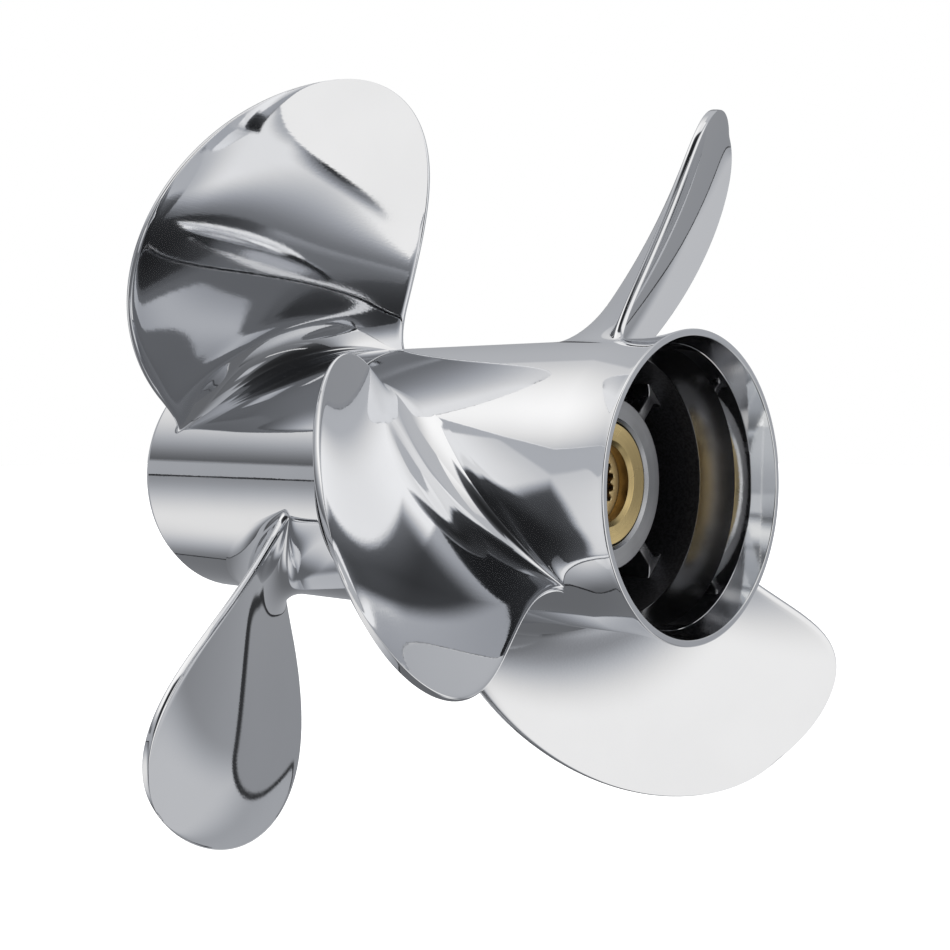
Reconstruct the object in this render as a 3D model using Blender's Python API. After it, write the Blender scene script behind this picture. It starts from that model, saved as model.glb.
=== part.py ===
"""Contra-rotating propeller pair of a boat's stern drive, modelled in metres.

The shaft axis is +X and points aft, and +Z is up. The origin is on the axis, in the
plane of the front barrel's forward face. The front propeller is left-hand and the rear
one is right-hand. Each is one casting in life; here its features are separate bodies,
GAP apart.
"""

from math import atan2, cos, pi, radians, sin, sqrt

import bmesh
import bpy

MM = 0.001
GAP = 0.3 * MM

# Barrels: the outer shells that the exhaust runs through
SEAM_X = 116.5 * MM
SEAM_GAP = 1.5 * MM
FRONT_NOSE_RADIUS = 54.4 * MM
BARREL_RADIUS = 55.0 * MM
FRONT_AFT_RADIUS = 55.0 * MM
BARREL_BORE = 49.0 * MM
NOSE_CHAMFER = 3.5 * MM
NOSE_CHAMFER_DROP = 1.5 * MM
EDGE_BREAK = 0.5 * MM
SPIGOT_LENGTH = 9.0 * MM
SPIGOT_RADIUS = 51.3 * MM
COUNTERBORE_RADIUS = 51.9 * MM
COUNTERBORE_DEPTH = 13.0 * MM

# The flared ring at the aft end
FLARE_START_X = 238.0 * MM
FLARE_END_X = 263.0 * MM
FLARE_RADIUS = 57.8 * MM
FLARE_LIP = 2.6 * MM
FLARE_STEP_RADIUS = 52.6 * MM
FLARE_STEP_DEPTH = 10.0 * MM
FLARE_STEP_DROP = 1.2 * MM
FLARE_BORE_LENGTH = 6.0 * MM

# Inner hubs and what is pressed into them
HUB_RADIUS = 33.5 * MM
HUB_BORE = 24.6 * MM
FRONT_HUB_START_X = 4.0 * MM
FRONT_HUB_END_X = 102.0 * MM
REAR_HUB_START_X = 128.0 * MM
REAR_HUB_END_X = 222.0 * MM
HUB_CHAMFER = 1.2 * MM
FRONT_SLEEVE_RADIUS = 20.5 * MM
FRONT_SPLINE_RADIUS = 17.2 * MM
REAR_SLEEVE_RADIUS = 16.0 * MM
REAR_SPLINE_RADIUS = 12.4 * MM
SPLINE_DEPTH = 2.0 * MM
FRONT_SPLINE_TEETH = 23
REAR_SPLINE_TEETH = 16
COLLAR_RADIUS = 23.7 * MM
COLLAR_BORE = 15.2 * MM
COLLAR_LENGTH = 6.0 * MM
COLLAR_CHAMFER = 1.4 * MM
COLLAR_RECESS = 0.6 * MM
BUSHING_INSET = 4.0 * MM
SLEEVE_INSET = 1.0 * MM

# Ribs between the inner hub and the barrel
RIB_ANGLES = (45.0, 135.0, 225.0, 315.0)
RIB_THICKNESS = 5.0 * MM
RIB_FOOT = 4.5 * MM
FRONT_RIB_SPAN = (8.0 * MM, 98.0 * MM)
REAR_RIB_SPAN = (132.0 * MM, 219.0 * MM)

# Blades: pitch, half chord, skew and rake are given at the root, mid span and tip, in millimetres
BLADE_COUNT = 3
BLADE_ROWS = 15
CHORD_POINTS = (
    -1.0, -0.985, -0.93, -0.82, -0.67, -0.49, -0.3, -0.1,
    0.1, 0.3, 0.49, 0.67, 0.82, 0.93, 0.985, 1.0,
)
ROOT_COLUMNS = 6
EDGE_THICKNESS = 3.6 * MM
ROOT_THICKNESS = 8.4 * MM
TIP_THICKNESS = 4.0 * MM
CAMBER = 0.05
FILLET_RADIUS = 9.0 * MM
EDGE_SQUARENESS = 60
TIP_SQUARENESS = 40
FILLET_SQUARENESS = 8

FRONT_BLADE = {
    "hand": -1,
    "base": 55.0 * MM,
    "tip": 170.0 * MM,
    "phase": -62.5,
    "round_le": 4.9,
    "round_te": 1.8,
    "pitch": (335.0, 395.0, 353.0),
    "half_chord": (51.0, 75.5, 100.0),
    "skew": (48.0, 85.0, 151.0),
    "rake": (25.0, 43.5, 64.5),
}
REAR_BLADE = {
    "hand": 1,
    "base": 55.0 * MM,
    "tip": 152.5 * MM,
    "phase": -79.5,
    "round_le": 2.0,
    "round_te": 4.2,
    "pitch": (416.0, 483.0, 477.0),
    "half_chord": (58.0, 69.0, 83.0),
    "skew": (13.0, 22.0, 54.0),
    "rake": (175.5, 196.5, 216.0),
}

# Finishes: base colour, roughness, metallic
STAINLESS = ((0.72, 0.73, 0.75), 0.12, 1.0)
MACHINED_STEEL = ((0.45, 0.46, 0.48), 0.35, 1.0)
BRASS = ((0.76, 0.60, 0.30), 0.28, 1.0)
RUBBER = ((0.02, 0.02, 0.02), 0.8, 0.0)


def clear_scene():
    """Removes every object of the scene."""
    for obj in list(bpy.data.objects):
        bpy.data.objects.remove(obj, do_unlink=True)


def make_material(name, finish):
    """Makes a Principled material from (base colour, roughness, metallic)."""
    colour, roughness, metallic = finish
    material = bpy.data.materials.new(name)
    material.use_nodes = True
    shader = material.node_tree.nodes["Principled BSDF"]
    shader.inputs["Base Color"].default_value = (*colour, 1.0)
    shader.inputs["Roughness"].default_value = roughness
    shader.inputs["Metallic"].default_value = metallic
    material.diffuse_color = (*colour, 1.0)
    return material


def add_object(name, vertices, faces, finish, parent, smooth=True):
    """Makes one closed object whose faces point outwards."""
    mesh = bpy.data.meshes.new(name)
    mesh.from_pydata(vertices, [], faces)
    bm = bmesh.new()
    bm.from_mesh(mesh)
    bmesh.ops.recalc_face_normals(bm, faces=bm.faces)
    bm.to_mesh(mesh)
    bm.free()
    mesh.polygons.foreach_set("use_smooth", [smooth] * len(mesh.polygons))
    obj = bpy.data.objects.new(name, mesh)
    obj.data.materials.append(make_material(name, finish))
    obj.parent = parent
    bpy.context.scene.collection.objects.link(obj)
    return obj


def on_axis(x, radius, angle):
    """The point at radius from the shaft axis, at an angle from +Z towards +Y."""
    return (x, radius * sin(angle), radius * cos(angle))


def turned_ring(name, profile, segments, finish, parent):
    """Revolves a closed (x, radius) outline about the shaft axis."""
    vertices = []
    for step in range(segments):
        angle = 2 * pi * step / segments
        vertices += [on_axis(x, radius, angle) for x, radius in profile]
    count = len(profile)
    faces = []
    for step in range(segments):
        here, there = step * count, (step + 1) % segments * count
        for i in range(count):
            j = (i + 1) % count
            faces.append((here + i, here + j, there + j, there + i))
    return add_object(name, vertices, faces, finish, parent)


def splined_sleeve(name, outer_radius, spline_radius, teeth, span, parent):
    """Makes a brass sleeve with rounded teeth in its bore."""
    per_tooth = 6
    count = teeth * per_tooth
    vertices = []
    for x in span:
        for i in range(count):
            angle = 2 * pi * i / count
            bore = spline_radius - SPLINE_DEPTH * (0.5 + 0.5 * cos(teeth * angle))
            vertices.append(on_axis(x, outer_radius, angle))
            vertices.append(on_axis(x, bore, angle))
    faces = []
    for i in range(count):
        a, b = 2 * i, 2 * ((i + 1) % count)
        c, d = a + 2 * count, b + 2 * count
        faces += [(a, b, d, c), (a + 1, b + 1, d + 1, c + 1)]
        faces += [(a, b, b + 1, a + 1), (c, d, d + 1, c + 1)]
    return add_object(name, vertices, faces, BRASS, parent)


def rib(name, angle, span, outer_radius, finish, parent):
    """Makes a radial web from the inner hub to the barrel, with a fillet at each end."""
    inner, outer = HUB_RADIUS + GAP, outer_radius - GAP
    half = RIB_THICKNESS / 2
    rise = (0.0, 0.15, 0.5, 1.0)
    levels = [(inner + k * RIB_FOOT, half + RIB_FOOT * (1 - k) ** 2) for k in rise]
    levels += [(outer - k * RIB_FOOT, half + RIB_FOOT * (1 - k) ** 2) for k in reversed(rise)]
    columns = 6
    vertices = []
    for radius, width in levels:
        for x in span:
            for i in range(columns + 1):
                across = width * (2 * i / columns - 1)
                vertices.append(on_axis(x, radius, angle + across / radius))
    row = columns + 1
    faces = []
    for level in range(len(levels) - 1):
        low, high = level * 2 * row, (level + 1) * 2 * row
        for i in range(columns):
            faces.append((low + i, low + i + 1, high + i + 1, high + i))
            faces.append((low + row + i, low + row + i + 1, high + row + i + 1, high + row + i))
        for i in (0, columns):
            faces.append((low + i, high + i, high + row + i, low + row + i))
    for base in (0, (len(levels) - 1) * 2 * row):
        for i in range(columns):
            faces.append((base + i, base + i + 1, base + row + i + 1, base + row + i))
    return add_object(name, vertices, faces, finish, parent, smooth=False)


def curve(values, t):
    """The parabola through a blade's root, middle and tip values, read at span fraction t."""
    root, middle, tip = values
    return root * (1 - t) * (1 - 2 * t) + middle * 4 * t * (1 - t) + tip * t * (2 * t - 1)


def front_barrel_radius(x):
    """Outside radius of the front barrel, which widens a little towards the aft end."""
    along = min(max(x / SEAM_X, 0.0), 1.0)
    return FRONT_NOSE_RADIUS + (FRONT_AFT_RADIUS - FRONT_NOSE_RADIUS) * along


def rear_barrel_radius(x):
    """Outside radius of the rear barrel, ahead of its flared ring."""
    return BARREL_RADIUS


def fillet_growth(height):
    """How far the root fillet stands out from the blade at a height over the barrel."""
    if height >= FILLET_RADIUS:
        return 0.0
    return FILLET_RADIUS - sqrt(FILLET_RADIUS ** 2 - (FILLET_RADIUS - height) ** 2)


def blade_point(blade, barrel_radius, phase, t, u, side):
    """A point of a blade's skin.

    t runs from root to tip, u from the leading edge (-1) to the trailing edge (1), and
    side is 1 on the forward face and -1 on the aft face. A side between them is inside.
    """
    nominal = blade["base"] + t * (blade["tip"] - blade["base"])
    pitch_angle = atan2(curve(blade["pitch"], t) * MM, 2 * pi * nominal)
    growth = fillet_growth(t * (blade["tip"] - blade["base"]))
    reach = curve(blade["half_chord"], t) * MM
    leading = reach * sqrt(max(1 - t ** blade["round_le"], 0.0))
    trailing = reach * sqrt(max(1 - t ** blade["round_te"], 0.0))
    half_chord = (leading + trailing) / 2
    middle = curve(blade["skew"], t) * MM + (trailing - leading) / 2
    along = middle + u * (half_chord + growth)
    thickness = ROOT_THICKNESS + (TIP_THICKNESS - ROOT_THICKNESS) * t
    bulge = EDGE_THICKNESS + (thickness - EDGE_THICKNESS) * (1 - u * u)
    half = bulge / 2 * sqrt(1 - abs(u) ** EDGE_SQUARENESS) * sqrt(max(1 - t ** TIP_SQUARENESS, 0.0))
    half += growth * sqrt(1 - abs(u) ** FILLET_SQUARENESS)
    normal = CAMBER * half_chord * (1 - u * u) + side * half
    x = curve(blade["rake"], t) * MM + along * sin(pitch_angle) - normal * cos(pitch_angle)
    base = barrel_radius(x)
    radius = base + t * (blade["tip"] - base)
    turn = (along * cos(pitch_angle) + normal * sin(pitch_angle)) / nominal
    return on_axis(x, radius, phase - blade["hand"] * turn)


def blade_levels(blade):
    """Span fractions of a blade's rows: close together in the fillet and at the tip."""
    span = blade["tip"] - blade["base"]
    low = [GAP / span] + [k * FILLET_RADIUS / span for k in (0.13, 0.35, 0.65)]
    start = FILLET_RADIUS / span
    rows = [1 - (1 - start) * (1 - k / BLADE_ROWS) ** 2 for k in range(BLADE_ROWS)]
    return low + rows


def add_blade(name, blade, barrel_radius, turn, parent):
    """Makes one blade as a loft of rows from the root to the tip."""
    phase = radians(blade["phase"] + turn)
    edge = len(CHORD_POINTS) - 1
    levels = blade_levels(blade)
    vertices = []
    loop = 2 * edge
    for t in levels:
        for u in CHORD_POINTS:
            vertices.append(blade_point(blade, barrel_radius, phase, t, u, -1))
        for u in reversed(CHORD_POINTS[1:-1]):
            vertices.append(blade_point(blade, barrel_radius, phase, t, u, 1))
    faces = []
    for level in range(len(levels) - 1):
        low, high = level * loop, (level + 1) * loop
        for i in range(loop):
            j = (i + 1) % loop
            faces.append((low + i, low + j, high + j, high + i))
    top = (len(levels) - 1) * loop
    tip = len(vertices)
    vertices.append(blade_point(blade, barrel_radius, phase, 1.0, 0.0, 0))
    faces += [(top + i, top + (i + 1) % loop, tip) for i in range(loop)]
    # The root's underside follows the barrel, so it is a grid and not one flat face
    grid = [[0] * (ROOT_COLUMNS + 1)]
    for i in range(1, edge):
        row = [i]
        for column in range(1, ROOT_COLUMNS):
            side = 2 * column / ROOT_COLUMNS - 1
            row.append(len(vertices))
            vertices.append(blade_point(blade, barrel_radius, phase, levels[0], CHORD_POINTS[i], side))
        grid.append(row + [loop - i])
    grid.append([edge] * (ROOT_COLUMNS + 1))
    for here, there in zip(grid, grid[1:]):
        for column in range(ROOT_COLUMNS):
            corners = (here[column], here[column + 1], there[column + 1], there[column])
            faces.append(tuple(dict.fromkeys(corners)))
    return add_object(name, vertices, faces, STAINLESS, parent)


def front_barrel(parent):
    """The front barrel, with a counterbore that takes the rear barrel's spigot."""
    depth = SEAM_X - COUNTERBORE_DEPTH
    profile = [
        (0.0, BARREL_BORE),
        (0.0, FRONT_NOSE_RADIUS - NOSE_CHAMFER_DROP),
        (NOSE_CHAMFER, front_barrel_radius(NOSE_CHAMFER)),
        (SEAM_X - EDGE_BREAK, front_barrel_radius(SEAM_X)),
        (SEAM_X, front_barrel_radius(SEAM_X) - EDGE_BREAK),
        (SEAM_X, COUNTERBORE_RADIUS),
        (depth, COUNTERBORE_RADIUS),
        (depth, BARREL_BORE),
    ]
    return turned_ring("front_barrel", profile, 80, STAINLESS, parent)


def rear_barrel(parent):
    """The rear barrel, with a spigot that runs inside the front barrel's counterbore."""
    start = SEAM_X + SEAM_GAP
    profile = [
        (start - SPIGOT_LENGTH, BARREL_BORE),
        (start - SPIGOT_LENGTH, SPIGOT_RADIUS),
        (start, SPIGOT_RADIUS),
        (start, BARREL_RADIUS - EDGE_BREAK),
        (start + EDGE_BREAK, BARREL_RADIUS),
        (FLARE_START_X, BARREL_RADIUS),
        (FLARE_START_X, BARREL_BORE),
    ]
    return turned_ring("rear_barrel", profile, 80, STAINLESS, parent)


def flare_ring(parent):
    """The flared ring, which opens outwards and has a step inside its mouth."""
    start = FLARE_START_X + GAP
    step = FLARE_END_X - FLARE_STEP_DEPTH
    rise = FLARE_RADIUS - BARREL_RADIUS
    length = FLARE_END_X - start
    outer = [(start + k * length, BARREL_RADIUS + rise * k * k) for k in (0, 0.25, 0.5, 0.75)]
    outer += [(FLARE_END_X - EDGE_BREAK, FLARE_RADIUS), (FLARE_END_X, FLARE_RADIUS - EDGE_BREAK)]
    inner = [
        (FLARE_END_X, FLARE_RADIUS - FLARE_LIP),
        (step, FLARE_STEP_RADIUS),
        (step, FLARE_STEP_RADIUS - FLARE_STEP_DROP),
        (start + FLARE_BORE_LENGTH, BARREL_BORE),
        (start, BARREL_BORE),
    ]
    return turned_ring("rear_flare_ring", outer + inner, 80, STAINLESS, parent)


def inner_hub(name, span, parent):
    """The tube round the shaft, with its ends turned flat."""
    start, end = span
    profile = [
        (start, HUB_BORE),
        (start, HUB_RADIUS),
        (end, HUB_RADIUS),
        (end, HUB_BORE + HUB_CHAMFER),
        (end - HUB_CHAMFER, HUB_BORE),
    ]
    return turned_ring(name, profile, 60, MACHINED_STEEL, parent)


def bushing(name, sleeve_radius, span, parent):
    """The rubber ring bonded between the sleeve and the inner hub."""
    inner, outer = sleeve_radius + GAP, HUB_BORE - GAP
    start, end = span
    profile = [(start, inner), (start, outer), (end, outer), (end, inner)]
    return turned_ring(name, profile, 48, RUBBER, parent)


def brass_collar(parent):
    """The brass collar whose flat face takes the nut, in the rear hub's aft end."""
    end = REAR_HUB_END_X - COLLAR_RECESS
    start = end - COLLAR_LENGTH
    profile = [
        (start, COLLAR_BORE),
        (start, COLLAR_RADIUS),
        (end, COLLAR_RADIUS),
        (end, COLLAR_BORE + COLLAR_CHAMFER),
        (end - COLLAR_CHAMFER, COLLAR_BORE),
    ]
    return turned_ring("rear_brass_collar", profile, 48, BRASS, parent)


def front_propeller(parent):
    """Builds the left-hand propeller that turns on the outer shaft."""
    front_barrel(parent)
    inner_hub("front_inner_hub", (FRONT_HUB_START_X, FRONT_HUB_END_X), parent)
    for number, angle in enumerate(RIB_ANGLES, 1):
        rib(f"front_rib_{number}", radians(angle), FRONT_RIB_SPAN, BARREL_BORE, STAINLESS, parent)
    bushing_span = (FRONT_HUB_START_X + BUSHING_INSET, FRONT_HUB_END_X - BUSHING_INSET)
    bushing("front_rubber_bushing", FRONT_SLEEVE_RADIUS, bushing_span, parent)
    sleeve_span = (FRONT_HUB_START_X + SLEEVE_INSET, FRONT_HUB_END_X - SLEEVE_INSET)
    splined_sleeve("front_spline_sleeve", FRONT_SLEEVE_RADIUS, FRONT_SPLINE_RADIUS,
                   FRONT_SPLINE_TEETH, sleeve_span, parent)
    for number in range(BLADE_COUNT):
        add_blade(f"front_blade_{number + 1}", FRONT_BLADE, front_barrel_radius,
                  360 * number / BLADE_COUNT, parent)


def rear_propeller(parent):
    """Builds the right-hand propeller that turns on the inner shaft."""
    rear_barrel(parent)
    flare_ring(parent)
    inner_hub("rear_inner_hub", (REAR_HUB_START_X, REAR_HUB_END_X), parent)
    for number, angle in enumerate(RIB_ANGLES, 1):
        rib(f"rear_rib_{number}", radians(angle), REAR_RIB_SPAN, BARREL_BORE, STAINLESS, parent)
    brass_collar(parent)
    sleeve_end = REAR_HUB_END_X - COLLAR_RECESS - COLLAR_LENGTH - GAP
    bushing_span = (REAR_HUB_START_X + BUSHING_INSET, sleeve_end)
    bushing("rear_rubber_bushing", REAR_SLEEVE_RADIUS, bushing_span, parent)
    splined_sleeve("rear_spline_sleeve", REAR_SLEEVE_RADIUS, REAR_SPLINE_RADIUS,
                   REAR_SPLINE_TEETH, (REAR_HUB_START_X + SLEEVE_INSET, sleeve_end), parent)
    for number in range(BLADE_COUNT):
        add_blade(f"rear_blade_{number + 1}", REAR_BLADE, rear_barrel_radius,
                  360 * number / BLADE_COUNT, parent)


def main():
    """Builds both propellers, each under an empty on the shaft axis."""
    clear_scene()
    for name, build in (("front_propeller", front_propeller), ("rear_propeller", rear_propeller)):
        empty = bpy.data.objects.new(f"{name}_axis", None)
        bpy.context.scene.collection.objects.link(empty)
        build(empty)


main()
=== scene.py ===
"""The looks of a contra-rotating propeller pair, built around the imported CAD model.

Everything is in metres in the CAD frame. The shaft axis is +X and points aft, +Z is up, and
the origin is on the axis in the plane of the front barrel's forward face.
"""

import logging
import math
from collections.abc import Callable
from dataclasses import dataclass
from enum import Enum
from functools import lru_cache
from typing import ClassVar

import bmesh
import bpy
from mathutils import Matrix, Vector


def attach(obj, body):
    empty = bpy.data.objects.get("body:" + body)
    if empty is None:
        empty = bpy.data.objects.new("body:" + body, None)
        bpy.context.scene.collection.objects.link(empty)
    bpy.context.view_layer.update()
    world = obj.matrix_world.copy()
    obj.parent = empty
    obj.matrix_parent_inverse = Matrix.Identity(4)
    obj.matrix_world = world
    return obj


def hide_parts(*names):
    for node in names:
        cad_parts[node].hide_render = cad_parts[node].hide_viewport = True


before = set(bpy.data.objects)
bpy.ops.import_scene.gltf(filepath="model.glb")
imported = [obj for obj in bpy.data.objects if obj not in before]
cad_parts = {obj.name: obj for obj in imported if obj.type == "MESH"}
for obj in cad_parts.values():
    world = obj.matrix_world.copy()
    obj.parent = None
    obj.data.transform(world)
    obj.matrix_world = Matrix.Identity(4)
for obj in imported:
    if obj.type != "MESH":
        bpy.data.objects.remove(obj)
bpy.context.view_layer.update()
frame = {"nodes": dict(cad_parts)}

logging.basicConfig(level=logging.INFO, format="%(message)s")
LOG = logging.getLogger("propeller_pair")

MM = 0.001
TURN = 2 * math.pi

Point = tuple[float, float, float]
Colour = tuple[float, float, float]
Socket = bpy.types.NodeSocket
Feed = Socket | bpy.types.ID | float | str | tuple[float, ...]


class Body(Enum):
    """The CAD bodies that pieces ride on."""

    FRONT = "front_propeller"
    REAR = "rear_propeller"


class Slot(Enum):
    """The record's material slots."""

    POLISHED = "polished_steel"
    MACHINED = "machined_steel"
    BRASS = "brass"
    RUBBER = "rubber"


class Hand(Enum):
    """Which way a propeller's blades are wound, seen from astern."""

    LEFT = -1
    RIGHT = 1


# Sizes shared by both propellers or by several of their pieces, as in the CAD source
SEAM_X = 116.5 * MM
SEAM_GAP = 1.5 * MM
NOSE_RADIUS = 54.4 * MM
BARREL_RADIUS = 55.0 * MM
BARREL_BORE = 49.0 * MM
HUB_RADIUS = 33.5 * MM
HUB_BORE = 24.6 * MM
FLARE_START_X = 238.0 * MM
FLARE_END_X = 263.0 * MM
FLARE_RADIUS = 57.8 * MM
SPIGOT_LENGTH = 9.0 * MM
SPIGOT_RADIUS = 51.3 * MM
COUNTERBORE_RADIUS = 51.9 * MM
COUNTERBORE_DEPTH = 13.0 * MM
SPLINE_DEPTH = 2.0 * MM
BUSHING_INSET = 4.0 * MM
SLEEVE_INSET = 1.0 * MM
FIT_GAP = 0.3 * MM
BARREL_EDGE = 0.5 * MM
BORE_EDGE = 0.3 * MM
RIB_ANGLES = (45.0, 135.0, 225.0, 315.0)
BLADE_COUNT = 3

# Points nearer than this are one point
WELD = 1e-7

# Edges that fold by more than these angles stay sharp
TURNED_CREASE = math.radians(35)
BLADE_CREASE = math.radians(60)
RIB_CREASE = math.radians(50)

# The fine rims reach a little further than the solids' faceted ones, so they are drawn in
RIM_TRIM = 0.25 * MM


def on_axis(x: float, radius: float, angle: float) -> Point:
    """Gives the point at a radius from the shaft axis, at an angle from +Z towards +Y."""
    return (x, radius * math.sin(angle), radius * math.cos(angle))


def front_barrel_radius(x: float) -> float:
    """Gives the front barrel's outside radius, which widens a little towards the aft end."""
    along = min(max(x / SEAM_X, 0.0), 1.0)
    return NOSE_RADIUS + (BARREL_RADIUS - NOSE_RADIUS) * along


def rear_barrel_radius(x: float) -> float:
    """Gives the rear barrel's outside radius, its flared end included."""
    along = max(x - FLARE_START_X, 0.0) / (FLARE_END_X - FLARE_START_X)
    return BARREL_RADIUS + (FLARE_RADIUS - BARREL_RADIUS) * along * along


def span_curve(values: tuple[float, float, float], t: float) -> float:
    """Reads the parabola through a blade's root, middle and tip values.

    Args:
        values: the value at the root, at mid span and at the tip.
        t: the span fraction, 0 at the barrel and 1 at the tip.

    Returns:
        The curve's value at t.
    """
    root, middle, tip = values
    return root * (1 - t) * (1 - 2 * t) + middle * 4 * t * (1 - t) + tip * t * (2 * t - 1)


# Meshes


def face_outwards(mesh: bpy.types.Mesh, weld: float = 0.0) -> None:
    """Points a closed mesh's faces outwards and shades them smooth.

    Args:
        mesh: the mesh to work on.
        weld: how near two points have to be to become one, or 0 to leave them.
    """
    bm = bmesh.new()
    bm.from_mesh(mesh)
    if weld > 0:
        bmesh.ops.remove_doubles(bm, verts=bm.verts, dist=weld)
    bmesh.ops.recalc_face_normals(bm, faces=bm.faces)
    for face in bm.faces:
        face.smooth = True
    bm.to_mesh(mesh)
    bm.free()


def finished_mesh(name: str, vertices: list[Point], faces: list[tuple[int, ...]]) -> bpy.types.Mesh:
    """Makes a smooth closed mesh whose faces point outwards.

    Args:
        name: the mesh's name.
        vertices: its points in metres.
        faces: the corners of each face.

    Returns:
        The new mesh.
    """
    mesh = bpy.data.meshes.new(name)
    mesh.from_pydata(vertices, [], faces)
    face_outwards(mesh, WELD)
    return mesh


def loft_faces(rows: int, count: int) -> list[tuple[int, ...]]:
    """Joins rows of points into walls.

    Args:
        rows: the number of rows.
        count: the number of points in each row, which is a closed loop.

    Returns:
        The walls' faces.
    """
    faces: list[tuple[int, ...]] = []
    for low in range(0, (rows - 1) * count, count):
        high = low + count
        for i in range(count):
            j = (i + 1) % count
            faces.append((low + i, low + j, high + j, high + i))
    return faces


def add_object(name: str, mesh: bpy.types.Mesh) -> bpy.types.Object:
    """Links a new object that holds a mesh.

    Args:
        name: the object's name.
        mesh: its mesh.

    Returns:
        The new object.
    """
    obj = bpy.data.objects.new(name, mesh)
    bpy.context.scene.collection.objects.link(obj)
    return obj


class NodeMaker:
    """Adds and links the nodes of one tree."""

    columns = 10
    spacing = (200.0, -260.0)

    def __init__(self, tree: bpy.types.NodeTree) -> None:
        """Works on a node tree."""
        self.tree = tree
        self.placed = 0

    def node(
        self, kind: str, settings: dict[str, object] | None = None, **inputs: Feed
    ) -> bpy.types.Node:
        """Adds a node.

        Args:
            kind: the node's type.
            settings: properties to set on it.
            **inputs: values or output sockets for inputs, by name with _ for a space.

        Returns:
            The new node.
        """
        made = self.tree.nodes.new(kind)
        self.placed += 1
        row, column = divmod(self.placed, self.columns)
        made.location = (self.spacing[0] * column, self.spacing[1] * row)
        for key, value in (settings or {}).items():
            setattr(made, key, value)
        for key, value in inputs.items():
            self.feed(made.inputs[key.replace("_", " ")], value)
        return made

    def feed(self, socket: Socket, value: Feed) -> None:
        """Links an output socket to an input, or sets the input's own value.

        Args:
            socket: the input.
            value: the output socket, or the value.
        """
        if isinstance(value, Socket):
            self.tree.links.new(value, socket)
        elif isinstance(value, tuple) and len(value) == 3 and socket.type == "RGBA":
            socket.default_value = (*value, 1.0)
        else:
            socket.default_value = value

    def calculate(self, kind: str, operation: str, values: tuple[Feed, ...]) -> Socket:
        """Adds a node that works out one number and gives its result.

        Args:
            kind: the node's type.
            operation: the name of what it works out.
            values: values or output sockets, in the order of its inputs.

        Returns:
            The result.
        """
        made = self.node(kind, {"operation": operation})
        for socket, value in zip(made.inputs, values):
            self.feed(socket, value)
        return made.outputs[0]

    def math(self, operation: str, *values: Feed) -> Socket:
        """Adds a Math node and gives its result."""
        return self.calculate("ShaderNodeMath", operation, values)


class ShapeMaker(NodeMaker):
    """Lays out and links the nodes of one Geometry Nodes tree."""

    def __init__(self, name: str, inputs: list[tuple[str, str]]) -> None:
        """Starts a tree with a geometry input and output.

        Args:
            name: the tree's name.
            inputs: the name and socket type of each further input.
        """
        super().__init__(bpy.data.node_groups.new(name, "GeometryNodeTree"))
        face = self.tree.interface
        face.new_socket(name="Geometry", in_out="INPUT", socket_type="NodeSocketGeometry")
        for label, kind in inputs:
            face.new_socket(name=label, in_out="INPUT", socket_type=kind)
        face.new_socket(name="Geometry", in_out="OUTPUT", socket_type="NodeSocketGeometry")
        self.source = self.tree.nodes.new("NodeGroupInput")
        self.target = self.tree.nodes.new("NodeGroupOutput")

    def whole(self, operation: str, *values: Feed) -> Socket:
        """Adds an Integer Math node and gives its result."""
        return self.calculate("FunctionNodeIntegerMath", operation, values)

    def input(self, label: str) -> Socket:
        """Gives the group input of a name."""
        return self.source.outputs[label]

    def sample(self, kind: str, geometry: Socket, value: Socket, index: Socket) -> Socket:
        """Reads a value of one kind at an index of a geometry.

        Args:
            kind: the value's data type.
            geometry: the geometry that holds it.
            value: the value, as a field.
            index: the index.

        Returns:
            The value at the index.
        """
        read = self.node("GeometryNodeSampleIndex", {"data_type": kind})
        for label, given in (("Geometry", geometry), ("Value", value), ("Index", index)):
            self.feed(read.inputs[label], given)
        return read.outputs[0]

    def attribute(self, kind: str, name: str) -> Socket:
        """Gives the attribute of a name."""
        named = self.node("GeometryNodeInputNamedAttribute", {"data_type": kind}, Name=name)
        return named.outputs["Attribute"]


def run_tree(
    name: str, mesh: bpy.types.Mesh, tree: bpy.types.NodeTree, values: dict[str, Feed]
) -> bpy.types.Mesh:
    """Runs a Geometry Nodes tree on a mesh.

    Args:
        name: the name of the resulting mesh.
        mesh: the geometry that goes in.
        tree: the tree.
        values: the modifier's inputs, by name.

    Returns:
        The plain mesh that comes out.
    """
    carrier = add_object(f"{name}_carrier", mesh)
    modifier = carrier.modifiers.new("shape", "NODES")
    modifier.node_group = tree
    identifiers = {
        item.name: item.identifier
        for item in tree.interface.items_tree
        if item.item_type == "SOCKET" and item.in_out == "INPUT"
    }
    for label, value in values.items():
        modifier[identifiers[label]] = value
    carrier.update_tag()
    bpy.context.view_layer.update()
    evaluated = carrier.evaluated_get(bpy.context.evaluated_depsgraph_get())
    made = bpy.data.meshes.new_from_object(evaluated)
    made.name = name
    carrier.modifiers.remove(modifier)
    bpy.data.objects.remove(carrier, do_unlink=True)
    return made


# Higher makes the spline teeth squarer
TOOTH_STEEPNESS = 1.4
FACETS_PER_TOOTH = 16
# How many finishes a turned form may have
FINISH_COUNT = 5


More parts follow.
